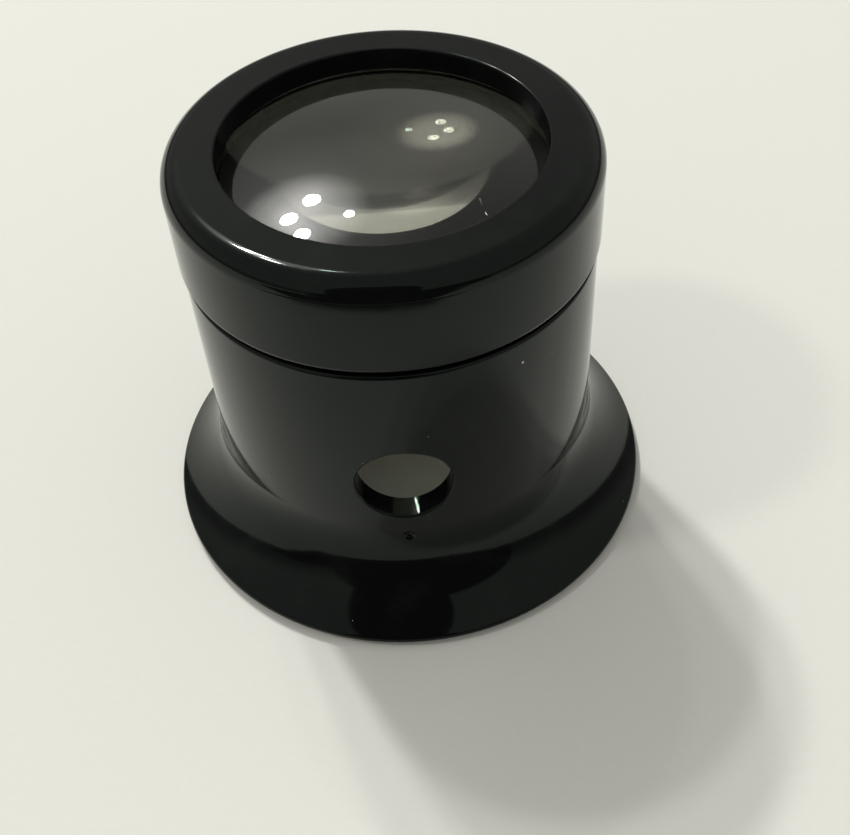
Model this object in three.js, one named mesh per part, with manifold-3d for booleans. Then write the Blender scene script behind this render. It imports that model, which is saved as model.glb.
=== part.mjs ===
// A jeweller's eye loupe: a flared eye cup with a vent hole, and a lens cap that screws into it.
// The cap carries a thick biconvex lens, and a ring holds the lens in from below.
// Millimetres, +Z up. The origin is the centre of the base, and the optical axis is Z.
import * as THREE from 'three';
import { mergeVertices } from 'three/addons/utils/BufferGeometryUtils.js';
import Module from 'manifold-3d';

const wasm = await Module();
wasm.setup();

const { degToRad } = THREE.MathUtils;

// ---- Driving dimensions
const TOTAL_HEIGHT = 30.0;
const BARREL_RADIUS_TOP = 13.8;   // at the joint under the cap
const BARREL_RADIUS_NECK = 14.05; // where the flare begins
const CUP_BORE_RADIUS = 12.35;
const CAP_RADIUS_TOP = 13.84;     // at the shoulder
const CAP_RADIUS_BOTTOM = 13.97;  // at the joint
const SHOULDER_ROUND = 1.4;       // cap's outer top edge
const CAP_LOWER_ROUND = 0.5;      // cap's outer bottom edge
const WINDOW_RADIUS = 10.35;      // round recess over the lens
const WINDOW_DEPTH = 1.5;
const WINDOW_CHAMFER = 0.15;
const JOINT_HEIGHT = 23.1;        // middle of the groove between cap and cup
const JOINT_GAP = 0.3;            // height of that groove
const CUP_TOP_ROUND = 0.25;       // cup's edge below it

// ---- Flare: a tight arc out of the barrel, then a wider arc down to the rim.
// Slopes are measured from the vertical.
const RIM_RADIUS = 18.5;
const RIM_HEIGHT = 0.74;          // height of the widest point
const RIM_ROUND = 0.35;
const RIM_SLOPE = degToRad(53.5);
const NECK_SLOPE = degToRad(28);  // where the two arcs meet
const NECK_ARC_RADIUS = 7;
const BASE_OUTER_RADIUS = 17.7;   // outside of the flat ring that the cup stands on

// ---- Vent hole and ejector mark, both on the -Y side
const SIDE_TURN = degToRad(-2.3);
const VENT_RADIUS = 3.2;
const VENT_HEIGHT = 12.8;
const PIT_RADIUS = 0.4;
const PIT_HEIGHT = 7.5;
const PIT_DEPTH = 0.35;

// ---- Lens, and the gaps that let the cap turn round it
const LENS_TOP_CURVE = 40.0;      // radius of each spherical face
const LENS_BOTTOM_CURVE = 48.0;
const LENS_RADIUS = 11.0;
const LENS_EDGE_THICKNESS = 1.1;
const LENS_BEVEL = 0.15;
const RUNNING_GAP = 0.1;
const RING_INNER_RADIUS = 10.3;
const RING_HEIGHT = 1.4;
const RING_CHAMFER = 0.25;
const BEAD_HEIGHT = 0.3;          // snap bead that keeps the ring up

// ---- Right-hand screw thread: a ridge on the cap's skirt runs in a groove in the cup's bore
const PITCH = 1.5;
const SKIRT_RADIUS = 12.1;
const SKIRT_LENGTH = 4.6;
const SKIRT_CHAMFER = 0.3;
const RIDGE_HEIGHT = 0.5;
const RIDGE_ROOT_WIDTH = 0.7;
const RIDGE_CREST_WIDTH = 0.35;
const RIDGE_LEAD_IN = 0.6;        // plain skirt below the ridge
const RIDGE_TURNS = 2;
const GROOVE_TURNS = 4;
const FLANK_CLEARANCE = 0.2;

const AROUND = 60;                // facets round the axis

// ---- Heights that follow
const CUP_TOP = JOINT_HEIGHT - JOINT_GAP / 2;
const CAP_BOTTOM = JOINT_HEIGHT + JOINT_GAP / 2;
const SKIRT_BOTTOM = CAP_BOTTOM - SKIRT_LENGTH;
const RIDGE_BOTTOM = SKIRT_BOTTOM + RIDGE_LEAD_IN;
const LIP_UNDERSIDE = TOTAL_HEIGHT - WINDOW_DEPTH;
const LENS_TOP = LIP_UNDERSIDE + sag(LENS_TOP_CURVE, WINDOW_RADIUS) - RUNNING_GAP;
const LENS_EDGE_TOP = LENS_TOP - sag(LENS_TOP_CURVE, LENS_RADIUS);
const LENS_EDGE_BOTTOM = LENS_EDGE_TOP - LENS_EDGE_THICKNESS;
const LENS_BOTTOM = LENS_EDGE_BOTTOM - sag(LENS_BOTTOM_CURVE, LENS_RADIUS);
const RING_TOP = LENS_BOTTOM + sag(LENS_BOTTOM_CURVE, RING_INNER_RADIUS) - RUNNING_GAP;
const RING_BOTTOM = RING_TOP - RING_HEIGHT;

// How far a spherical face falls away from its apex at a radius.
function sag(curve, radius) {
  return curve - Math.sqrt(curve ** 2 - radius ** 2);
}

// ---- Geometry helpers
// Points of an arc as [radius, height] pairs.
function arc(centreR, centreZ, radius, fromAngle, toAngle, steps) {
  const points = [];
  for (let i = 0; i <= steps; i += 1) {
    const angle = fromAngle + ((toAngle - fromAngle) * i) / steps;
    points.push([centreR + radius * Math.cos(angle), centreZ + radius * Math.sin(angle)]);
  }
  return points;
}

// Turns an outline of [radius, height] pairs, given counter-clockwise, into a solid about Z.
function revolve(outline) {
  const startsOnAxis = outline[0][0] === 0;
  const closed = startsOnAxis ? outline : [...outline, outline[0]];
  const points = closed.map(([r, z]) => new THREE.Vector2(r, z));
  const geometry = new THREE.LatheGeometry(points, AROUND);
  geometry.rotateX(Math.PI / 2);
  return geometry;
}

function toSolid(geometry) {
  const bare = geometry.clone();
  bare.deleteAttribute('normal');
  bare.deleteAttribute('uv');
  const merged = mergeVertices(bare);
  return new wasm.Manifold(new wasm.Mesh({
    numProp: 3,
    vertProperties: new Float32Array(merged.attributes.position.array),
    triVerts: new Uint32Array(merged.index.array),
  }));
}

function toGeometry(solid) {
  const mesh = solid.getMesh();
  const geometry = new THREE.BufferGeometry();
  geometry.setAttribute('position', new THREE.BufferAttribute(mesh.vertProperties, 3));
  geometry.setIndex(new THREE.BufferAttribute(mesh.triVerts, 1));
  geometry.computeVertexNormals();
  return geometry;
}

// A right-hand helix whose frames keep a section upright, with its x pointing away from the axis.
class Helix extends THREE.Curve {
  constructor(radius, turns, startHeight) {
    super();
    this.radius = radius;
    this.turns = turns;
    this.startHeight = startHeight;
  }

  getPoint(t, target = new THREE.Vector3()) {
    const angle = 2 * Math.PI * this.turns * t;
    const height = this.startHeight + PITCH * this.turns * t;
    return target.set(this.radius * Math.cos(angle), this.radius * Math.sin(angle), height);
  }

  getPointAt(t, target) {
    return this.getPoint(t, target);
  }

  computeFrenetFrames(steps) {
    const frames = { tangents: [], normals: [], binormals: [] };
    for (let i = 0; i <= steps; i += 1) {
      const angle = (2 * Math.PI * this.turns * i) / steps;
      frames.tangents.push(new THREE.Vector3(-Math.sin(angle), Math.cos(angle), 0));
      frames.normals.push(new THREE.Vector3(Math.cos(angle), Math.sin(angle), 0));
      frames.binormals.push(new THREE.Vector3(0, 0, -1));
    }
    return frames;
  }
}

// Width of the ridge at a distance from the axis, carried on past its root and crest.
function ridgeWidth(radius) {
  const taper = (RIDGE_ROOT_WIDTH - RIDGE_CREST_WIDTH) / RIDGE_HEIGHT;
  return RIDGE_ROOT_WIDTH - taper * (radius - SKIRT_RADIUS);
}

// A helical bar with the ridge's flanks, made wider by a clearance on each flank.
function helicalBar(innerRadius, outerRadius, clearance, turns, startHeight) {
  const depth = outerRadius - innerRadius;
  const innerHalf = ridgeWidth(innerRadius) / 2 + clearance;
  const outerHalf = ridgeWidth(outerRadius) / 2 + clearance;
  const section = new THREE.Shape();
  section.moveTo(0, -innerHalf);
  section.lineTo(depth, -outerHalf);
  section.lineTo(depth, outerHalf);
  section.lineTo(0, innerHalf);
  section.closePath();
  return new THREE.ExtrudeGeometry(section, {
    extrudePath: new Helix(innerRadius, turns, startHeight),
    steps: turns * AROUND,
  });
}

// A cylinder that points outward from the axis on the -Y side, at a height.
function sideCylinder(radius, fromRadius, toRadius, height, facets) {
  const geometry = new THREE.CylinderGeometry(radius, radius, toRadius - fromRadius, facets);
  geometry.translate(0, -(fromRadius + toRadius) / 2, 0);
  geometry.rotateZ(SIDE_TURN);
  geometry.translate(0, 0, height);
  return geometry;
}

// ---- Eye cup
// Centres of the flare's two arcs, which lie outside it. The wide arc ends on the rim's rounding,
// and the tight one ends upright on the barrel.
function flareCentres() {
  const endR = RIM_RADIUS - RIM_ROUND + RIM_ROUND * Math.cos(RIM_SLOPE);
  const endZ = RIM_HEIGHT + RIM_ROUND * Math.sin(RIM_SLOPE);
  const tightRun = NECK_ARC_RADIUS * (1 - Math.cos(NECK_SLOPE));
  const wideRun = endR - BARREL_RADIUS_NECK - tightRun;
  const wideRadius = wideRun / (Math.cos(NECK_SLOPE) - Math.cos(RIM_SLOPE));
  const wideR = endR + wideRadius * Math.cos(RIM_SLOPE);
  const wideZ = endZ + wideRadius * Math.sin(RIM_SLOPE);
  const apart = wideRadius - NECK_ARC_RADIUS;
  const tightR = wideR - apart * Math.cos(NECK_SLOPE);
  const tightZ = wideZ - apart * Math.sin(NECK_SLOPE);
  return { wideR, wideZ, wideRadius, tightR, tightZ };
}

// The flare from the bottom up. An offset moves it into the wall, for the inside.
function flareOutline(offset, bottomSlope, wideSteps, tightSteps) {
  const { wideR, wideZ, wideRadius, tightR, tightZ } = flareCentres();
  const neck = Math.PI + NECK_SLOPE;
  const wide = arc(wideR, wideZ, wideRadius + offset, Math.PI + bottomSlope, neck, wideSteps);
  const tight = arc(tightR, tightZ, NECK_ARC_RADIUS + offset, neck, Math.PI, tightSteps);
  return [...wide, ...tight.slice(1)];
}

function makeCupBlank() {
  const wall = BARREL_RADIUS_NECK - CUP_BORE_RADIUS;
  const { wideZ, wideRadius } = flareCentres();
  const insideBottomSlope = Math.asin(wideZ / (wideRadius + wall));
  const rimCentre = RIM_RADIUS - RIM_ROUND;
  const topCentre = BARREL_RADIUS_TOP - CUP_TOP_ROUND;
  return revolve([
    [BASE_OUTER_RADIUS, 0],
    ...arc(rimCentre, RIM_HEIGHT, RIM_ROUND, -Math.PI / 4, RIM_SLOPE, 4),
    ...flareOutline(0, RIM_SLOPE, 6, 5).slice(1),
    ...arc(topCentre, CUP_TOP - CUP_TOP_ROUND, CUP_TOP_ROUND, 0, Math.PI / 2, 2),
    [CUP_BORE_RADIUS, CUP_TOP],
    ...flareOutline(wall, insideBottomSlope, 5, 4).toReversed(),
  ]);
}

function makeEyeCup() {
  const reach = 0.2; // how far the cutters stand out of the wall
  const groove = helicalBar(
    CUP_BORE_RADIUS - reach, CUP_BORE_RADIUS + RIDGE_HEIGHT, FLANK_CLEARANCE,
    GROOVE_TURNS, RIDGE_BOTTOM - PITCH,
  );
  const vent = sideCylinder(
    VENT_RADIUS, CUP_BORE_RADIUS / 2, BARREL_RADIUS_NECK + reach, VENT_HEIGHT, 28,
  );
  const pit = sideCylinder(
    PIT_RADIUS, BARREL_RADIUS_NECK - PIT_DEPTH, BARREL_RADIUS_NECK + reach, PIT_HEIGHT, 10,
  );
  return toGeometry(toSolid(makeCupBlank())
    .subtract(toSolid(groove))
    .subtract(toSolid(vent))
    .subtract(toSolid(pit)));
}

// ---- Lens cap
function makeLensCap() {
  const seatRadius = LENS_RADIUS + RUNNING_GAP;
  const beadTop = RING_BOTTOM - RUNNING_GAP;
  const edgeR = CAP_RADIUS_BOTTOM - CAP_LOWER_ROUND;
  const edgeZ = CAP_BOTTOM + CAP_LOWER_ROUND;
  const shoulderR = CAP_RADIUS_TOP - SHOULDER_ROUND;
  const shoulderZ = TOTAL_HEIGHT - SHOULDER_ROUND;
  const blank = revolve([
    [seatRadius, SKIRT_BOTTOM],
    [SKIRT_RADIUS - SKIRT_CHAMFER, SKIRT_BOTTOM],
    [SKIRT_RADIUS, SKIRT_BOTTOM + SKIRT_CHAMFER],
    [SKIRT_RADIUS, CAP_BOTTOM],
    ...arc(edgeR, edgeZ, CAP_LOWER_ROUND, -Math.PI / 2, 0, 4),
    ...arc(shoulderR, shoulderZ, SHOULDER_ROUND, 0, Math.PI / 2, 6),
    [WINDOW_RADIUS + WINDOW_CHAMFER, TOTAL_HEIGHT],
    [WINDOW_RADIUS, TOTAL_HEIGHT - WINDOW_CHAMFER],
    [WINDOW_RADIUS, LIP_UNDERSIDE],
    [seatRadius, LIP_UNDERSIDE],
    [seatRadius, beadTop],
    [seatRadius - BEAD_HEIGHT / 2, beadTop - BEAD_HEIGHT / 2],
    [seatRadius, beadTop - BEAD_HEIGHT],
  ]);
  const embed = 0.2; // how far the ridge is sunk into the skirt
  const ridge = helicalBar(
    SKIRT_RADIUS - embed, SKIRT_RADIUS + RIDGE_HEIGHT, 0,
    RIDGE_TURNS, RIDGE_BOTTOM,
  );
  return toGeometry(toSolid(blank).add(toSolid(ridge)));
}

// ---- Lens: two spherical faces, and a ground edge with small bevels
function lensFace(apexHeight, curve, direction) {
  const steps = 8;
  const points = [];
  for (let i = 0; i <= steps; i += 1) {
    const radius = ((LENS_RADIUS - LENS_BEVEL) * i) / steps;
    points.push([radius, apexHeight + direction * sag(curve, radius)]);
  }
  return points;
}

function makeLens() {
  return revolve([
    ...lensFace(LENS_BOTTOM, LENS_BOTTOM_CURVE, 1),
    [LENS_RADIUS, LENS_EDGE_BOTTOM + LENS_BEVEL],
    [LENS_RADIUS, LENS_EDGE_TOP - LENS_BEVEL],
    ...lensFace(LENS_TOP, LENS_TOP_CURVE, -1).toReversed(),
  ]);
}

// ---- Ring that holds the lens up in the cap
function makeRetainingRing() {
  return revolve([
    [RING_INNER_RADIUS + RING_CHAMFER, RING_BOTTOM],
    [LENS_RADIUS - RING_CHAMFER, RING_BOTTOM],
    [LENS_RADIUS, RING_BOTTOM + RING_CHAMFER],
    [LENS_RADIUS, RING_TOP],
    [RING_INNER_RADIUS, RING_TOP],
    [RING_INNER_RADIUS, RING_BOTTOM + RING_CHAMFER],
  ]);
}

// ---- Assembly
const GLOSSY_BLACK = { color: 0x0b0c0c, roughness: 0.12, metalness: 0 };
const MATT_BLACK = { color: 0x101111, roughness: 0.5, metalness: 0 };
const GLASS = { color: 0xeef4f0, roughness: 0.02, metalness: 0, transparent: true, opacity: 0.35 };

const PIECES = [
  ['eye_cup', makeEyeCup, GLOSSY_BLACK],
  ['lens_cap', makeLensCap, GLOSSY_BLACK],
  ['lens', makeLens, GLASS],
  ['lens_retaining_ring', makeRetainingRing, MATT_BLACK],
];

const loupe = new THREE.Group();
for (const [name, make, finish] of PIECES) {
  const mesh = new THREE.Mesh(make(), new THREE.MeshStandardMaterial(finish));
  mesh.name = name;
  loupe.add(mesh);
}

export default loupe;
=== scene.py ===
import math
from collections import namedtuple

import bmesh
import bpy
from mathutils import Matrix, Vector


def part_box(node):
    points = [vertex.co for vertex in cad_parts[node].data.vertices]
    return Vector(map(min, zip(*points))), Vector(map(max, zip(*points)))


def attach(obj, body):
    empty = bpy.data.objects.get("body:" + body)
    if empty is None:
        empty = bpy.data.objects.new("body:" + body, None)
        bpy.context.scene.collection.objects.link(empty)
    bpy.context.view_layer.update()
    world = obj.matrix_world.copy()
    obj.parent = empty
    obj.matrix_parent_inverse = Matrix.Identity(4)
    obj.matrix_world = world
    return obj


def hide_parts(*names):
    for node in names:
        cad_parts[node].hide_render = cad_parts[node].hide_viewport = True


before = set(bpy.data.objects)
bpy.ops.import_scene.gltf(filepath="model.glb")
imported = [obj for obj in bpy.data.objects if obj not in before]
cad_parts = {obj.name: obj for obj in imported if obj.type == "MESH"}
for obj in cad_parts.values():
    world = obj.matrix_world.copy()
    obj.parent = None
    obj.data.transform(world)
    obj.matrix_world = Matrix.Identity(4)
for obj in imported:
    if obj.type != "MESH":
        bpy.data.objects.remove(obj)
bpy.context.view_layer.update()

MM = 0.001
FULL_TURN = 2 * math.pi

# ---- Sizes that the CAD frame gives, in metres
cup_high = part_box("eye_cup")[1]
cap_low, cap_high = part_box("lens_cap")
lens_low, lens_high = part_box("lens")
ring_low, ring_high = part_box("lens_retaining_ring")

RIM_RADIUS = cup_high.x
CUP_TOP = cup_high.z
TOTAL_HEIGHT = cap_high.z
SKIRT_BOTTOM = cap_low.z
CAP_RADIUS_BOTTOM = cap_high.x
LENS_RADIUS = lens_high.x
LENS_TOP = lens_high.z
LENS_BOTTOM = lens_low.z
RING_TOP = ring_high.z
RING_BOTTOM = ring_low.z

# ---- The design's other sizes
BARREL_RADIUS_TOP = 13.8 * MM
BARREL_RADIUS_NECK = 14.05 * MM
CUP_BORE_RADIUS = 12.35 * MM
CAP_RADIUS_TOP = 13.84 * MM
SHOULDER_ROUND = 1.4 * MM
CAP_LOWER_ROUND = 0.5 * MM
WINDOW_RADIUS = 10.35 * MM
WINDOW_DEPTH = 1.5 * MM
JOINT_GAP = 0.3 * MM
CUP_TOP_ROUND = 0.25 * MM
SKIRT_FOOT_ROUND = 0.15 * MM
WINDOW_ROUND = 0.15 * MM
SEAT_ROUND = 0.05 * MM            # the edges of the lens's seat in the cap
SMALL_ROUND = 0.12 * MM           # every other moulded edge

RIM_HEIGHT = 0.74 * MM
RIM_ROUND = 0.35 * MM
RIM_SLOPE = math.radians(53.5)
NECK_SLOPE = math.radians(28)
NECK_ARC_RADIUS = 7 * MM
BASE_OUTER_RADIUS = 17.7 * MM
FOOT_HEIGHT = 0.25 * MM           # where the inside's flare turns into the foot

SIDE_TURN = math.radians(-2.3)
VENT_RADIUS = 3.2 * MM
VENT_HEIGHT = 12.8 * MM
VENT_OUTER_ROUND = 0.2 * MM
VENT_INNER_ROUND = 0.12 * MM
PIT_RADIUS = 0.5 * MM             # with its soft edge
PIT_HEIGHT = 7.5 * MM
PIT_DEPTH = 0.24 * MM

LENS_TOP_CURVE = 40.0 * MM
LENS_BOTTOM_CURVE = 48.0 * MM
LENS_EDGE_THICKNESS = 1.1 * MM
LENS_BEVEL = 0.15 * MM
RUNNING_GAP = 0.1 * MM
RING_INNER_RADIUS = 10.3 * MM
RING_LOWER_ROUND = 0.25 * MM
BEAD_HEIGHT = 0.3 * MM
BEAD_ROUND = 0.08 * MM

PITCH = 1.5 * MM
SKIRT_RADIUS = 12.1 * MM
RIDGE_HEIGHT = 0.5 * MM
RIDGE_ROOT_WIDTH = 0.7 * MM
RIDGE_CREST_WIDTH = 0.35 * MM
RIDGE_LEAD_IN = 0.6 * MM
RIDGE_TURNS = 2
GROOVE_TURNS = 4
FLANK_CLEARANCE = 0.2 * MM
THREAD_FADE = math.radians(25)    # the turn in which a thread rises or sinks at its ends

# ---- Heights that follow
CAP_BOTTOM = CUP_TOP + JOINT_GAP
LIP_UNDERSIDE = TOTAL_HEIGHT - WINDOW_DEPTH
RIDGE_BOTTOM = SKIRT_BOTTOM + RIDGE_LEAD_IN
RIDGE_MARGIN = 0.6 * RIDGE_ROOT_WIDTH
RIDGE_LOW_END = RIDGE_BOTTOM - RIDGE_MARGIN
RIDGE_HIGH_END = RIDGE_BOTTOM + PITCH * RIDGE_TURNS + RIDGE_MARGIN
GROOVE_BOTTOM = RIDGE_BOTTOM - PITCH
FLANK_TAPER = (RIDGE_ROOT_WIDTH - RIDGE_CREST_WIDTH) / RIDGE_HEIGHT
GROOVE_MOUTH = RIDGE_ROOT_WIDTH - FLANK_TAPER * (CUP_BORE_RADIUS - SKIRT_RADIUS) + 2 * FLANK_CLEARANCE
GROOVE_FLOOR = GROOVE_MOUTH - FLANK_TAPER * RIDGE_HEIGHT
GROOVE_LOW_END = GROOVE_BOTTOM - GROOVE_MOUTH / 2

# ---- Mesh fineness
COLUMNS = 288
LINE_STEP = 0.7 * MM
THREAD_STEP = 0.06 * MM
ROUND_STEP = math.radians(10)
ARC_STEP = math.radians(1.5)
TOUCHING = 0.001 * MM             # rows nearer than this count as one
LENS_RINGS = 40
PATCH_RINGS = 8
VENT_COLUMNS = COLUMNS // 18      # half the window in the wall that holds the vent's edge
VENT_WINDOW = 4.3 * MM            # half its height
PIT_COLUMNS = COLUMNS // 72
PIT_WINDOW = 0.9 * MM

Corner = namedtuple("Corner", "r z round line_step", defaults=(0.0, LINE_STEP))
Row = namedtuple("Row", "r z normal_r normal_z")
Flare = namedtuple("Flare", "wide_r wide_z wide_radius tight_r tight_z barrel_slope")


# ---- Outlines: closed, with the solid on the left, made of corners and of rows along arcs
def edge(r, z, rounding=SMALL_ROUND):
    return Corner(r, z, rounding)


def arc(centre_r, centre_z, radius, from_angle, to_angle, facing=1, step=ARC_STEP):
    """Rows along an arc. Facing 1 points the surface away from the centre, and -1 towards it."""
    count = math.ceil(abs(to_angle - from_angle) / step)
    rows = []
    for i in range(count + 1):
        angle = from_angle + (to_angle - from_angle) * i / count
        out_r, out_z = math.cos(angle), math.sin(angle)
        rows.append(Row(centre_r + radius * out_r, centre_z + radius * out_z, facing * out_r, facing * out_z))
    return rows


def along(a, b):
    length = math.hypot(b.r - a.r, b.z - a.z)
    return (b.r - a.r) / length, (b.z - a.z) / length


def rounded_corner(before, corner, after):
    """Rows along a corner's rounding. A corner on a straight line gives one row."""
    in_r, in_z = along(before, corner)
    out_r, out_z = along(corner, after)
    if corner.round == 0:
        return [Row(corner.r, corner.z, in_z, -in_r)]
    turn = math.atan2(in_r * out_z - in_z * out_r, in_r * out_r + in_z * out_z)
    side = math.copysign(1, turn)
    trim = corner.round * math.tan(abs(turn) / 2)
    centre_r = corner.r - in_r * trim - side * in_z * corner.round
    centre_z = corner.z - in_z * trim + side * in_r * corner.round
    steps = max(2, math.ceil(abs(turn) / ROUND_STEP))
    rows = []
    for i in range(steps + 1):
        part = turn * i / steps
        normal_r = in_z * math.cos(part) + in_r * math.sin(part)
        normal_z = -in_r * math.cos(part) + in_z * math.sin(part)
        rows.append(Row(centre_r + side * corner.round * normal_r,
                        centre_z + side * corner.round * normal_z, normal_r, normal_z))
    return rows


def line_between(start, end, step):
    """The rows strictly between two rows."""
    length = math.hypot(end.r - start.r, end.z - start.z)
    count = max(1, round(length / step))
    return [Row(*(s + (e - s) * i / count for s, e in zip(start, end))) for i in range(1, count)]


def trace(outline):
    """The rows of a closed outline."""
    rows = []
    line_step = LINE_STEP
    for i, item in enumerate(outline):
        if isinstance(item, Corner):
            last, following = outline[i - 1], outline[(i + 1) % len(outline)]
            before = last if isinstance(last, Corner) else last[-1]
            after = following if isinstance(following, Corner) else following[0]
            stretch = rounded_corner(before, item, after)
        else:
            stretch = item
        if rows:
            rows += line_between(rows[-1], stretch[0], line_step)
            touching = math.hypot(rows[-1].r - stretch[0].r, rows[-1].z - stretch[0].z) < TOUCHING
            stretch = stretch[1:] if touching else stretch
        line_step = item.line_step if isinstance(item, Corner) else LINE_STEP
        rows += stretch
    return rows + line_between(rows[-1], rows[0], line_step)


def nearest_row(rows, r, z):
    return min(range(len(rows)), key=lambda i: math.hypot(rows[i].r - r, rows[i].z - z))


# ---- Meshes
class Shape:
    """Vertices with exact normals, and faces between them."""

    def __init__(self):
        self.points, self.normals, self.faces, self.numbers = [], [], [], {}

    def vertex(self, key, place):
        """The number of the vertex with this key; place() gives its point and normal if it is new."""
        if key not in self.numbers:
            point, normal = place()
            self.numbers[key] = len(self.points)
            self.points.append(point)
            self.normals.append(normal.normalized())
        return self.numbers[key]

    def face(self, *corners):
        distinct = list(dict.fromkeys(corners))
        if len(distinct) > 2:
            self.faces.append(distinct)

    def to_object(self, name, material):
        mesh = bpy.data.meshes.new(name)
        mesh.from_pydata(self.points, [], self.faces)
        work = bmesh.new()
        work.from_mesh(mesh)
        bmesh.ops.recalc_face_normals(work, faces=work.faces)
        work.to_mesh(mesh)
        work.free()
        mesh.shade_smooth()
        mesh.normals_split_custom_set_from_vertices(self.normals)
        mesh.materials.append(material)
        made = bpy.data.objects.new(name, mesh)
        bpy.context.scene.collection.objects.link(made)
        return made


def column_angle(column):
    """Columns are counted from the side with the vent hole, so one runs through its middle."""
    return FULL_TURN * (column % COLUMNS) / COLUMNS - math.pi / 2 + SIDE_TURN


def place_row(row, column, relief):
    angle = column_angle(column)
    radius = row.r
    outward = Vector((math.cos(angle), math.sin(angle), 0))
    normal = outward * row.normal_r + Vector((0, 0, row.normal_z))
    if relief:
        small = 0.01 * MM
        small_angle = small / row.r
        radius += relief(angle, row.z)
        rise = (relief(angle, row.z + small) - relief(angle, row.z - small)) / (2 * small)
        swing = (relief(angle + small_angle, row.z) - relief(angle - small_angle, row.z)) / (2 * small)
        tangent = Vector((-outward.y, outward.x, 0))
        normal -= (tangent * swing + Vector((0, 0, rise))) * row.normal_r
    return outward * radius + Vector((0, 0, row.z)), normal


def revolve(shape, rows, closed=True, relief=None, relief_rows=(0, 0), windows=()):
    """Turns rows about Z. Windows are (low row, high row, half width in columns) left open."""

    def corner(row_number, column):
        row = rows[row_number]
        on_axis = row.r < TOUCHING
        key = (row_number, 0 if on_axis else column % COLUMNS)
        active = relief if relief_rows[0] <= row_number <= relief_rows[1] else None
        return shape.vertex(key, lambda: place_row(row, column, active))

    def is_open(row_number, column):
        centred = (column + COLUMNS // 2) % COLUMNS - COLUMNS // 2
        return any(min(low, high) <= row_number < max(low, high) and -half <= centred < half
                   for low, high, half in windows)

    count = len(rows)
    for i in range(count if closed else count - 1):
        above = (i + 1) % count
        for column in range(COLUMNS):
            if not is_open(i, column):
                beside = column + 1
                shape.face(corner(i, column), corner(i, beside), corner(above, beside), corner(above, column))
    return corner


def window_border(corner, bottom, top, half):
    """Vertex numbers round a window's edge, from its lower left corner. Rows may be counted either way."""
    up = range(bottom, top) if top > bottom else range(bottom, top, -1)
    down = range(top, bottom, -1) if top > bottom else range(top, bottom)
    border = [corner(bottom, column) for column in range(-half, half)]
    border += [corner(row, half) for row in up]
    border += [corner(top, column) for column in range(half, -half, -1)]
    border += [corner(row, -half) for row in down]
    return border


def join_loops(shape, outer, inner):
    for i in range(len(outer)):
        after = (i + 1) % len(outer)
        shape.face(outer[i], outer[after], inner[after], inner[i])


# ---- Small helpers
def smooth_step(value):
    value = min(1.0, max(0.0, value))
    return value * value * (3 - 2 * value)


def sag(curve, radius):
    """How far a spherical face falls away from its apex at a radius."""
    return curve - math.sqrt(curve ** 2 - radius ** 2)


# ---- Screw thread
def thread_relief(angle, z, start, turns, root_width, crest_width):
    """How far a helical ridge stands out at an angle and height, fading in and out at its ends."""
    from_start = angle % FULL_TURN
    nearest = round((z - start) / PITCH - from_start / FULL_TURN)
    run = from_start + FULL_TURN * nearest
    ends = smooth_step(run / THREAD_FADE) * smooth_step((FULL_TURN * turns - run) / THREAD_FADE)
    off_middle = abs(z - start - PITCH * run / FULL_TURN)
    flank = (root_width - crest_width) / 2
    return RIDGE_HEIGHT * ends * smooth_step((root_width / 2 - off_middle) / flank)


def ridge_relief(angle, z):
    return thread_relief(angle, z, RIDGE_BOTTOM, RIDGE_TURNS, RIDGE_ROOT_WIDTH, RIDGE_CREST_WIDTH)


def groove_relief(angle, z):
    return thread_relief(angle, z, GROOVE_BOTTOM, GROOVE_TURNS, GROOVE_MOUTH, GROOVE_FLOOR)


# ---- Eye cup
def find_flare():
    """The flare's wide arc ends on the rim's round and its tight arc runs straight into the barrel."""
    end_r = RIM_RADIUS - RIM_ROUND + RIM_ROUND * math.cos(RIM_SLOPE)
    end_z = RIM_HEIGHT + RIM_ROUND * math.sin(RIM_SLOPE)
    tight_run = NECK_ARC_RADIUS * (1 - math.cos(NECK_SLOPE))
    wide_radius = (end_r - BARREL_RADIUS_NECK - tight_run) / (math.cos(NECK_SLOPE) - math.cos(RIM_SLOPE))
    wide_r = end_r + wide_radius * math.cos(RIM_SLOPE)
    wide_z = end_z + wide_radius * math.sin(RIM_SLOPE)
    tight_r = wide_r - (wide_radius - NECK_ARC_RADIUS) * math.cos(NECK_SLOPE)
    tight_z = wide_z - (wide_radius - NECK_ARC_RADIUS) * math.sin(NECK_SLOPE)
    to_centre = math.atan2(tight_z - CUP_TOP, tight_r - BARREL_RADIUS_TOP)
    reach = math.hypot(tight_z - CUP_TOP, tight_r - BARREL_RADIUS_TOP)
    barrel_slope = to_centre + math.acos(NECK_ARC_RADIUS / reach)
    return Flare(wide_r, wide_z, wide_radius, tight_r, tight_z, barrel_slope)


flare = find_flare()


def outer_wall(z):
    """The outside's radius and slope at a height on the barrel or the neck."""
    neck_top = flare.tight_z - NECK_ARC_RADIUS * math.sin(flare.barrel_slope)
    if z > neck_top:
        return BARREL_RADIUS_TOP + (CUP_TOP - z) * math.tan(flare.barrel_slope), flare.barrel_slope
    slope = math.asin((flare.tight_z - z) / NECK_ARC_RADIUS)
    return flare.tight_r - NECK_ARC_RADIUS * math.cos(slope), slope


def bore_wall(z):
    return CUP_BORE_RADIUS, 0.0


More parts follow.
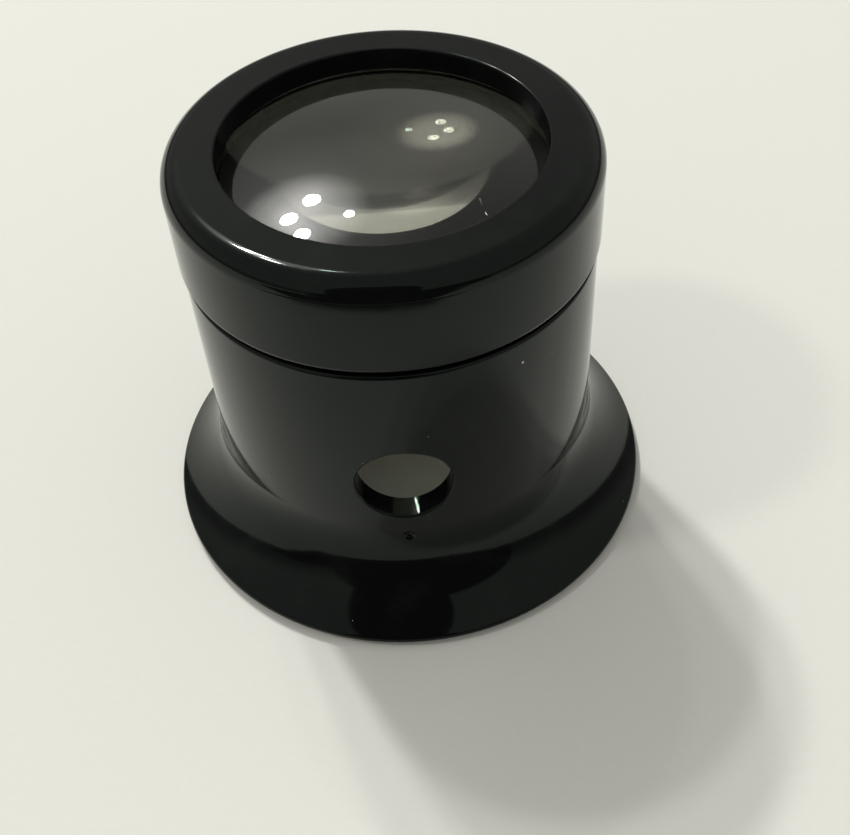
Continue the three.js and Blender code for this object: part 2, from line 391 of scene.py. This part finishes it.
def cup_outline():
    wall = BARREL_RADIUS_NECK - CUP_BORE_RADIUS
    wide_inside = flare.wide_radius + wall
    rim_centre = RIM_RADIUS - RIM_ROUND
    to_rim = math.atan2(RIM_HEIGHT, rim_centre - BASE_OUTER_RADIUS)
    rim_start = to_rim - math.asin(RIM_ROUND / math.hypot(RIM_HEIGHT, rim_centre - BASE_OUTER_RADIUS))
    foot_slope = math.asin((flare.wide_z - FOOT_HEIGHT) / wide_inside)
    foot_r = flare.wide_r - wide_inside * math.cos(foot_slope) + FOOT_HEIGHT * math.tan(foot_slope)
    vent_low, vent_high = VENT_HEIGHT - VENT_WINDOW, VENT_HEIGHT + VENT_WINDOW
    vent_step = VENT_WINDOW / VENT_COLUMNS
    left = math.pi

    def tight(radius, from_slope, to_slope, facing):
        return arc(flare.tight_r, flare.tight_z, radius, left + from_slope, left + to_slope, facing)

    return [
        edge(BASE_OUTER_RADIUS, 0),
        arc(rim_centre, RIM_HEIGHT, RIM_ROUND, rim_start - math.pi / 2, RIM_SLOPE, step=ROUND_STEP),
        arc(flare.wide_r, flare.wide_z, flare.wide_radius, left + RIM_SLOPE, left + NECK_SLOPE, -1),
        tight(NECK_ARC_RADIUS, NECK_SLOPE, flare.barrel_slope, -1),
        Corner(outer_wall(vent_low)[0], vent_low, 0.0, vent_step),
        Corner(outer_wall(vent_high)[0], vent_high),
        edge(BARREL_RADIUS_TOP, CUP_TOP, CUP_TOP_ROUND),
        Corner(CUP_BORE_RADIUS, CUP_TOP, SMALL_ROUND, THREAD_STEP),
        Corner(CUP_BORE_RADIUS, GROOVE_LOW_END),
        Corner(CUP_BORE_RADIUS, vent_high, 0.0, vent_step),
        Corner(CUP_BORE_RADIUS, vent_low),
        tight(NECK_ARC_RADIUS + wall, 0, NECK_SLOPE, 1),
        arc(flare.wide_r, flare.wide_z, wide_inside, left + NECK_SLOPE, left + foot_slope),
        edge(foot_r, 0),
    ]


def side_frame():
    """The directions across and out of the side that has the vent hole."""
    turn = Matrix.Rotation(SIDE_TURN, 3, "Z")
    return turn @ Vector((1, 0, 0)), turn @ Vector((0, -1, 0))


def round_feature(shape, border, name, wall, height, rings, inward=1):
    """Fills a window round a feature and then follows its rings: (radius, depth, tilt into the hole)."""
    across_way, out_way = side_frame()
    middle = Vector((0, height))
    at_border = [Vector((shape.points[n].dot(across_way), shape.points[n].z)) for n in border]
    count = len(border)
    ways = [Vector((math.cos(a), math.sin(a))) for a in
            (-3 * math.pi / 4 + FULL_TURN * i / count for i in range(count))]
    last = border

    def place(flat, way, depth, tilt):
        radius, slope = wall(flat.y)
        reach = math.sqrt(radius ** 2 - flat.x ** 2)
        outward = (across_way * flat.x + out_way * reach) / radius
        normal = (outward * math.cos(slope) + Vector((0, 0, math.sin(slope)))) * inward
        to_middle = -(across_way * way.x + Vector((0, 0, way.y)))
        point = across_way * flat.x + out_way * (reach - depth * inward) + Vector((0, 0, flat.y))
        return point, normal * math.cos(tilt) + to_middle * math.sin(tilt)

    for step in range(1, PATCH_RINGS + len(rings)):
        part = min(1.0, step / PATCH_RINGS)
        radius, depth, tilt = rings[max(0, step - PATCH_RINGS)]
        flats = [b.lerp(middle + way * radius, part) for b, way in zip(at_border, ways)]
        here = [shape.vertex((name, step, i), lambda: place(flats[i], ways[i], depth, tilt))
                for i in range(count)]
        join_loops(shape, last, here)
        last = here
    return last


def rounded_edge(radius, rounding, steps=6):
    """Rings round the edge of a hole, from the wall's surface to the hole's side."""
    rings = []
    for step in range(steps + 1):
        tilt = math.pi / 2 * step / steps
        rings.append((radius + rounding * (1 - math.sin(tilt)), rounding * (1 - math.cos(tilt)), tilt))
    return rings


def pit_rings(steps=9):
    """The ejector mark: a smooth dimple, level at its edge and its middle."""
    rings = []
    for step in range(steps):
        turn = math.pi * (1 - step / steps)
        steepness = PIT_DEPTH * math.pi / (2 * PIT_RADIUS) * math.sin(turn)
        depth = PIT_DEPTH * (1 + math.cos(turn)) / 2
        rings.append((PIT_RADIUS * turn / math.pi, depth, math.atan(steepness)))
    return rings


def make_eye_cup(material):
    rows = trace(cup_outline())

    def window(height, half_height, half_columns, wall):
        low, high = (nearest_row(rows, wall(z)[0], z) for z in (height - half_height, height + half_height))
        return low, high, half_columns

    vent_out = window(VENT_HEIGHT, VENT_WINDOW, VENT_COLUMNS, outer_wall)
    vent_in = window(VENT_HEIGHT, VENT_WINDOW, VENT_COLUMNS, bore_wall)
    pit = window(PIT_HEIGHT, PIT_WINDOW, PIT_COLUMNS, outer_wall)
    threaded = (nearest_row(rows, CUP_BORE_RADIUS + SMALL_ROUND, CUP_TOP),
                nearest_row(rows, CUP_BORE_RADIUS, GROOVE_LOW_END))
    shape = Shape()
    windows = (vent_out, vent_in, pit)
    corner = revolve(shape, rows, windows=windows, relief=groove_relief, relief_rows=threaded)
    outside = round_feature(shape, window_border(corner, *vent_out), "vent_outside", outer_wall,
                            VENT_HEIGHT, rounded_edge(VENT_RADIUS, VENT_OUTER_ROUND))
    inside = round_feature(shape, window_border(corner, *vent_in), "vent_inside", bore_wall,
                           VENT_HEIGHT, rounded_edge(VENT_RADIUS, VENT_INNER_ROUND), -1)
    join_loops(shape, outside, inside)
    bottom = round_feature(shape, window_border(corner, *pit), "pit", outer_wall, PIT_HEIGHT, pit_rings())
    shape.face(*bottom)
    return shape.to_object("eye_cup_shell", material)


# ---- Lens cap
def cap_outline():
    seat = LENS_RADIUS + RUNNING_GAP
    bead_top = RING_BOTTOM - RUNNING_GAP
    return [
        edge(seat, SKIRT_BOTTOM),
        edge(SKIRT_RADIUS, SKIRT_BOTTOM, SKIRT_FOOT_ROUND),
        Corner(SKIRT_RADIUS, RIDGE_LOW_END, 0.0, THREAD_STEP),
        Corner(SKIRT_RADIUS, RIDGE_HIGH_END),
        edge(SKIRT_RADIUS, CAP_BOTTOM),
        edge(CAP_RADIUS_BOTTOM, CAP_BOTTOM, CAP_LOWER_ROUND),
        edge(CAP_RADIUS_TOP, TOTAL_HEIGHT, SHOULDER_ROUND),
        edge(WINDOW_RADIUS, TOTAL_HEIGHT, WINDOW_ROUND),
        edge(WINDOW_RADIUS, LIP_UNDERSIDE, SEAT_ROUND),
        edge(seat, LIP_UNDERSIDE, SEAT_ROUND),
        edge(seat, bead_top, SEAT_ROUND),
        edge(seat - BEAD_HEIGHT / 2, bead_top - BEAD_HEIGHT / 2, BEAD_ROUND),
        edge(seat, bead_top - BEAD_HEIGHT, SEAT_ROUND),
    ]


def make_lens_cap(material):
    rows = trace(cap_outline())
    ridged = tuple(nearest_row(rows, SKIRT_RADIUS, z) for z in (RIDGE_LOW_END, RIDGE_HIGH_END))
    shape = Shape()
    revolve(shape, rows, relief=ridge_relief, relief_rows=ridged)
    return shape.to_object("lens_cap_shell", material)


# ---- Lens
def lens_face(apex, curve, up):
    """Rows from the axis to the rim of one spherical face."""
    rows = []
    for i in range(LENS_RINGS + 1):
        radius = (LENS_RADIUS - LENS_BEVEL) * i / LENS_RINGS
        tilt = radius / curve
        rows.append(Row(radius, apex - up * sag(curve, radius), tilt, up * math.sqrt(1 - tilt ** 2)))
    return rows


def make_lens(material):
    edge_top = LENS_TOP - sag(LENS_TOP_CURVE, LENS_RADIUS)
    edge_bottom = edge_top - LENS_EDGE_THICKNESS
    rows = lens_face(LENS_BOTTOM, LENS_BOTTOM_CURVE, -1)
    rows.append(Row(LENS_RADIUS, edge_bottom + LENS_BEVEL, 1, 0))
    rows.append(Row(LENS_RADIUS, edge_top - LENS_BEVEL, 1, 0))
    rows += lens_face(LENS_TOP, LENS_TOP_CURVE, 1)[::-1]
    shape = Shape()
    revolve(shape, rows, closed=False)
    return shape.to_object("lens_glass", material)


# ---- Ring that holds the lens up
def make_retaining_ring(material):
    rows = trace([
        edge(RING_INNER_RADIUS, RING_BOTTOM, RING_LOWER_ROUND),
        edge(LENS_RADIUS, RING_BOTTOM, RING_LOWER_ROUND),
        edge(LENS_RADIUS, RING_TOP),
        edge(RING_INNER_RADIUS, RING_TOP),
    ])
    shape = Shape()
    revolve(shape, rows)
    return shape.to_object("retaining_ring", material)


# ---- Materials
class Nodes:
    """Short ways to add shader nodes to one material."""

    def __init__(self, name):
        self.material = bpy.data.materials.new(name)
        self.material.use_nodes = True
        self.tree = self.material.node_tree
        self.shader = self.tree.nodes["Principled BSDF"]

    def add(self, kind, inputs=None, **settings):
        made = self.tree.nodes.new(kind)
        for key, value in settings.items():
            setattr(made, key, value)
        for key, value in (inputs or {}).items():
            self.put(made.inputs[key], value)
        return made

    def put(self, socket, value):
        if isinstance(value, bpy.types.NodeSocket):
            self.tree.links.new(value, socket)
        else:
            socket.default_value = value

    def maths(self, operation, *values):
        made = self.add("ShaderNodeMath", operation=operation)
        for socket, value in zip(made.inputs, values):
            self.put(socket, value)
        return made.outputs[0]

    def ramp(self, value, low, high, to_low=0.0, to_high=1.0):
        """Smoothly maps value from [low, high] to [to_low, to_high]."""
        made = self.add("ShaderNodeMapRange", interpolation_type="SMOOTHSTEP", inputs={
            "Value": value, "From Min": low, "From Max": high, "To Min": to_low, "To Max": to_high})
        return made.outputs[0]

    def noise(self, vector, scale, detail=3.0, roughness=0.5):
        made = self.add("ShaderNodeTexNoise", inputs={
            "Vector": vector, "Scale": scale, "Detail": detail, "Roughness": roughness})
        return made.outputs[0]

    def mix_colour(self, factor, first, second):
        made = self.add("ShaderNodeMix", data_type="RGBA")
        self.put(made.inputs[0], factor)
        self.put(made.inputs[6], first)
        self.put(made.inputs[7], second)
        return made.outputs[2]

    def set(self, **values):
        for key, value in values.items():
            self.put(self.shader.inputs[key.replace("_", " ")], value)

    def positions(self, seed):
        """The object's own coordinates moved by a seed, then distance from the axis, height and angle."""
        place = self.add("ShaderNodeTexCoord").outputs["Object"]
        split = self.add("ShaderNodeSeparateXYZ", inputs={0: place})
        x, y, z = split.outputs
        square = self.maths("ADD", self.maths("MULTIPLY", x, x), self.maths("MULTIPLY", y, y))
        radius = self.maths("SQRT", square)
        shift = (seed, seed * 2, seed * 3)
        moved = self.add("ShaderNodeVectorMath", operation="ADD", inputs={0: place, 1: shift})
        angle = self.maths("ARCTAN2", y, x)
        return moved.outputs[0], radius, z, angle

    def specks(self, vector, cell, size, share):
        """A mask of small round specks, one in some cells of a scattered grid."""
        made = self.add("ShaderNodeTexVoronoi", inputs={
            "Vector": vector, "Scale": 1 / cell, "Randomness": 1.0})
        distance, colour = made.outputs["Distance"], made.outputs["Color"]
        pick = self.add("ShaderNodeSeparateColor", inputs={0: colour}).outputs[0]
        chosen = self.maths("LESS_THAN", pick, share)
        return self.maths("MULTIPLY", chosen, self.ramp(distance, size / cell, 0.5 * size / cell))

    def bump(self, height, distance, base=None):
        inputs = {"Height": height, "Distance": distance, "Strength": 1.0}
        if base is not None:
            inputs["Normal"] = base
        return self.add("ShaderNodeBump", inputs=inputs).outputs[0]


def glossy_plastic(name, seed):
    """Polished black moulding: faint orange peel, a few hairline scratches, smudges and dust."""
    peel_size, hairline_width, patch_size, smudge_size = 2.6 * MM, 0.09 * MM, 5.0 * MM, 3.4 * MM
    hairline_squeeze = 0.035          # hairlines run round the part, about 29 times as long as wide
    clean_black = (0.0034, 0.0040, 0.0039, 1)
    worn_black = (0.0060, 0.0067, 0.0064, 1)
    dust_grey = (0.60, 0.60, 0.55, 1)
    n = Nodes(name)
    place, radius, z, angle = n.positions(seed)

    peel = n.noise(place, 1 / peel_size, 2.0)
    around = n.maths("MULTIPLY", angle, radius)
    squeezed = n.maths("MULTIPLY", around, hairline_squeeze)
    wrapped = n.add("ShaderNodeCombineXYZ", inputs={0: squeezed, 1: z, 2: radius})
    hairlines = n.ramp(n.noise(wrapped.outputs[0], 1 / hairline_width, 1.0), 0.68, 0.76)
    patches = n.ramp(n.noise(place, 1 / patch_size, 3.0), 0.5, 0.75)
    hairlines = n.maths("MULTIPLY", hairlines, patches)
    smudge = n.ramp(n.noise(place, 1 / smudge_size, 5.0, 0.62), 0.48, 0.75)
    flecks = n.specks(place, 3.6 * MM, 0.15 * MM, 0.6)
    lint = n.specks(place, 1.6 * MM, 0.045 * MM, 0.35)
    dirt = n.maths("MAXIMUM", flecks, lint)

    black = n.mix_colour(smudge, clean_black, worn_black)
    n.set(Base_Color=n.mix_colour(dirt, black, dust_grey))

    polished, smudge_dulling, hairline_dulling, dust_roughness = 0.07, 0.05, 0.08, 0.8
    roughness = n.maths("ADD", polished, n.maths("MULTIPLY", smudge, smudge_dulling))
    roughness = n.maths("ADD", roughness, n.maths("MULTIPLY", hairlines, hairline_dulling))
    n.set(Roughness=n.maths("MAXIMUM", roughness, n.maths("MULTIPLY", dirt, dust_roughness)))

    peel_height, hairline_depth, dust_height = 0.003 * MM, 0.0005 * MM, 0.02 * MM
    relief = n.bump(peel, peel_height)
    relief = n.bump(hairlines, -hairline_depth, relief)
    n.set(Normal=n.bump(dirt, dust_height, relief))
    n.shader.inputs["IOR"].default_value = 1.5
    n.shader.inputs["Specular IOR Level"].default_value = 0.21
    n.shader.inputs["Specular Tint"].default_value = (0.86, 1.0, 0.93, 1)
    return n.material


def matt_plastic(name, seed):
    """The hidden ring: matt black with a fine spark-eroded grain."""
    grain_size, grain_height, cloud_size = 0.12 * MM, 0.012 * MM, 2.0 * MM
    dark, less_dark = (0.011, 0.011, 0.011, 1), (0.022, 0.022, 0.021, 1)
    n = Nodes(name)
    place = n.positions(seed)[0]
    grain = n.noise(place, 1 / grain_size, 4.0, 0.6)
    cloud = n.noise(place, 1 / cloud_size, 3.0)
    n.set(Base_Color=n.mix_colour(cloud, dark, less_dark))
    n.set(Roughness=n.ramp(cloud, 0.3, 0.7, 0.42, 0.6))
    n.set(Normal=n.bump(grain, grain_height))
    return n.material


def lens_glass(name, seed):
    """Polished glass with a ground edge, a trace of wiping smears and a few specks of dust."""
    clear_ends, ground_starts = LENS_RADIUS - 0.16 * MM, LENS_RADIUS - 0.1 * MM
    clear_tint, ground_tint = (0.92, 0.925, 0.77, 1), (0.75, 0.78, 0.70, 1)
    smear_size, grit_size, grit_height = 2.8 * MM, 0.08 * MM, 0.02 * MM
    smear_roughness, ground_roughness, dust_roughness, dust_cover = 0.004, 0.4, 0.9, 0.8
    n = Nodes(name)
    place, radius = n.positions(seed)[:2]
    ground = n.ramp(radius, clear_ends, ground_starts)
    smear = n.ramp(n.noise(place, 1 / smear_size, 4.0, 0.6), 0.5, 0.8)
    dust = n.specks(place, 1.1 * MM, 0.03 * MM, 0.10)
    n.set(Base_Color=n.mix_colour(ground, clear_tint, ground_tint))
    roughness = n.maths("MULTIPLY", smear, smear_roughness)
    roughness = n.maths("MAXIMUM", roughness, n.maths("MULTIPLY", ground, ground_roughness))
    n.set(Roughness=n.maths("MAXIMUM", roughness, n.maths("MULTIPLY", dust, dust_roughness)))
    n.set(Transmission_Weight=n.maths("SUBTRACT", 1.0, n.maths("MULTIPLY", dust, dust_cover)))
    grit = n.noise(place, 1 / grit_size, 2.0)
    n.set(Normal=n.bump(n.maths("MULTIPLY", grit, ground), grit_height))
    n.shader.inputs["IOR"].default_value = 1.52
    n.shader.inputs["Coat Weight"].default_value = 0.14
    n.shader.inputs["Coat Roughness"].default_value = 0.2
    return n.material


# ---- The pieces
cup = make_eye_cup(glossy_plastic("cup_gloss_black", 0.13))
cap = make_lens_cap(glossy_plastic("cap_gloss_black", 0.37))
lens = make_lens(lens_glass("clear_lens_glass", 0.71))
ring = make_retaining_ring(matt_plastic("ring_matt_black", 0.53))

for piece, body, node, slot in (
    (cup, "cup", "eye_cup", "cup_plastic"),
    (cap, "cap", "lens_cap", "cap_plastic"),
    (lens, "lens_cell", "lens", "lens_glass"),
    (ring, "lens_cell", "lens_retaining_ring", "ring_plastic"),
):
    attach(piece, body)
    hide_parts(node)


# ---- Stage: a white table top in a dim room, under a ceiling light with three shades
def table_top():
    side, fibre_size, fibre_height = 3.0, 0.5 * MM, 0.02 * MM
    white, brighter_white = (0.80, 0.80, 0.755, 1), (0.84, 0.84, 0.80, 1)
    n = Nodes("table_white")
    place = n.add("ShaderNodeTexCoord").outputs["Object"]
    fibres = n.noise(place, 1 / fibre_size, 5.0, 0.65)
    n.set(Base_Color=n.mix_colour(fibres, white, brighter_white))
    n.set(Normal=n.bump(fibres, fibre_height))
    n.shader.inputs["Roughness"].default_value = 0.55
    n.shader.inputs["Specular IOR Level"].default_value = 0.0
    bpy.ops.mesh.primitive_plane_add(size=side)
    top = bpy.context.object
    top.name = "table_top"
    top.data.materials.append(n.material)


def direction(azimuth, elevation):
    """Azimuth is counted from +Y towards -X, and both are in degrees."""
    azimuth, elevation = math.radians(azimuth), math.radians(elevation)
    flat = math.cos(elevation)
    return Vector((-math.sin(azimuth) * flat, math.cos(azimuth) * flat, math.sin(elevation)))


CEILING_LAMP = direction(24, 50)


def room():
    """Walls above a darker skyline, with a wide and a close glow round the ceiling lamp."""
    world = bpy.data.worlds.new("room")
    world.use_nodes = True
    tree = world.node_tree
    background = tree.nodes["Background"]
    way = tree.nodes.new("ShaderNodeTexCoord").outputs["Generated"]

    def patch(centre, far_angle, near_angle, low, high):
        """Light that changes from low to high between two angles, in degrees, from a direction."""
        dot = tree.nodes.new("ShaderNodeVectorMath")
        dot.operation = "DOT_PRODUCT"
        tree.links.new(way, dot.inputs[0])
        dot.inputs[1].default_value = centre
        ramp = tree.nodes.new("ShaderNodeMapRange")
        ramp.interpolation_type = "SMOOTHSTEP"
        tree.links.new(dot.outputs["Value"], ramp.inputs["Value"])
        ramp.inputs["From Min"].default_value = math.cos(math.radians(far_angle))
        ramp.inputs["From Max"].default_value = math.cos(math.radians(near_angle))
        ramp.inputs["To Min"].default_value = low
        ramp.inputs["To Max"].default_value = high
        return ramp.outputs[0]

    def join(operation, first, second):
        joined = tree.nodes.new("ShaderNodeMath")
        joined.operation = operation
        tree.links.new(first, joined.inputs[0])
        tree.links.new(second, joined.inputs[1])
        return joined.outputs[0]

    walls = patch(Vector((0, 1, 0)), 140, 40, 0.47, 0.36)
    skyline = patch(Vector((0, 0, 1)), 87, 76, 0.3, 1.0)
    wide_glow = patch(CEILING_LAMP, 28, 6, 0.0, 0.3)
    close_glow = patch(CEILING_LAMP, 13, 2, 0.0, 3.2)
    glow = join("ADD", wide_glow, close_glow)
    tree.links.new(join("ADD", join("MULTIPLY", walls, skyline), glow), background.inputs["Strength"])
    background.inputs["Color"].default_value = (1.0, 0.99, 0.94, 1)
    bpy.context.scene.world = world


def lamp_at(azimuth, elevation, distance, diameter, power, colour, name):
    """A round lamp facing the object."""
    way = direction(azimuth, elevation)
    data = bpy.data.lights.new(name, "AREA")
    data.shape = "DISK"
    data.size = diameter
    data.energy = power
    data.color = colour
    made = bpy.data.objects.new(name, data)
    made.location = way * distance + Vector((0, 0, TOTAL_HEIGHT))
    made.rotation_euler = way.to_track_quat("Z", "Y").to_euler()
    bpy.context.scene.collection.objects.link(made)
    return made


def lights():
    warm, cool = (1.0, 0.99, 0.945), (0.80, 1.0, 0.97)
    to_ceiling, to_window = 1.5, 0.9
    shade_diameter, spot_diameter, window_diameter = 0.08, 0.05, 0.09
    shades = ((19.1, 47.3, 3.2), (27.1, 49.1, 4.8), (28.0, 54.6, 3.4))
    for i, (azimuth, elevation, power) in enumerate(shades):
        lamp_at(azimuth, elevation, to_ceiling, shade_diameter, power, warm, f"ceiling_shade_{i}")
    lamp_at(12.0, 54.7, to_ceiling, spot_diameter, 0.6, cool, "ceiling_spot")
    window = lamp_at(101, 52, to_window, window_diameter, 1.0, warm, "side_window")
    window.visible_glossy = False
    window.visible_transmission = False


def dark_material(name):
    n = Nodes(name)
    n.set(Base_Color=(0.012, 0.012, 0.012, 1), Roughness=0.9)
    return n.material


def only_reflected(thing):
    """A dark thing out of the picture, which the object's gloss reflects and nothing else shows."""
    thing.visible_camera = False
    thing.visible_diffuse = False
    thing.visible_shadow = False


def photographer():
    """The head and shoulders of the person who holds the camera: centres and half sizes in mm."""
    dark = dark_material("dark_clothes")
    for name, centre, size in (
        ("shoulders", (20, -380, 30), (330, 110, 120)),
        ("head", (-80, -400, 250), (170, 110, 260)),
    ):
        bpy.ops.mesh.primitive_uv_sphere_add(segments=48, ring_count=24)
        body = bpy.context.object
        body.name = f"photographer_{name}"
        body.location = Vector(centre) * MM
        body.scale = Vector(size) * MM
        bpy.ops.object.shade_smooth()
        body.data.materials.append(dark)
        only_reflected(body)


def dark_arc(name, section, first_azimuth=116, last_azimuth=214, end_taper=22):
    """A dark curved shape round the front.

    Its oval section is (radius, height, half width, half height) in mm, and the angles are in degrees.
    """
    radius, height, half_width, half_height = (size * MM for size in section)
    steps, sides = 48, 24
    shape = Shape()

    def corner(i, j):
        azimuth = first_azimuth + (last_azimuth - first_azimuth) * i / steps
        from_end = min(azimuth - first_azimuth, last_azimuth - azimuth) / end_taper
        size = math.sin(math.pi / 2 * min(1.0, from_end + 0.02))
        turn = FULL_TURN * (j % sides) / sides
        way = direction(azimuth, 0)
        out = math.cos(turn) * half_width * size
        up = math.sin(turn) * half_height * size
        normal = way * math.cos(turn) / half_width + Vector((0, 0, math.sin(turn) / half_height))
        point = way * (radius + out) + Vector((0, 0, height + up))
        return shape.vertex((i, j % sides), lambda: (point, normal))

    for i in range(steps):
        for j in range(sides):
            shape.face(corner(i, j), corner(i, j + 1), corner(i + 1, j + 1), corner(i + 1, j))
    only_reflected(shape.to_object(name, dark_material(name)))


def camera():
    """Stands 88 mm from the middle of the base."""
    back, height = 56.85 * MM, 67.675 * MM
    yaw, pitch, roll = math.radians(2.79), math.radians(49.42), math.radians(-3.04)
    data = bpy.data.cameras.new("camera")
    data.sensor_width = 36.0
    data.lens = 45.1
    data.shift_x = -0.0207
    data.shift_y = 0.0221
    data.clip_start = 1 * MM
    made = bpy.data.objects.new("camera", data)
    look = Vector((math.sin(yaw) * math.cos(pitch), math.cos(yaw) * math.cos(pitch), -math.sin(pitch)))
    level_right = look.cross(Vector((0, 0, 1))).normalized()
    level_up = level_right.cross(look)
    right = math.cos(roll) * level_right + math.sin(roll) * level_up
    up = math.cos(roll) * level_up - math.sin(roll) * level_right
    place = Matrix((right, up, -look)).transposed().to_4x4()
    place.translation = Vector((0, -back, height))
    made.matrix_world = place
    bpy.context.scene.collection.objects.link(made)
    bpy.context.scene.camera = made


table_top()
room()
lights()
photographer()
dark_arc("fingers", (45.7, 5, 4, 1.6))
# A thin dark sheet lying on the table in front: painted shade on the table beneath the camera, which only the
# object's gloss reflects.
dark_arc("painted_table_shade", (190, 0.5, 130, 0.3))
camera()
bpy.context.scene.view_settings.view_transform = "Standard"
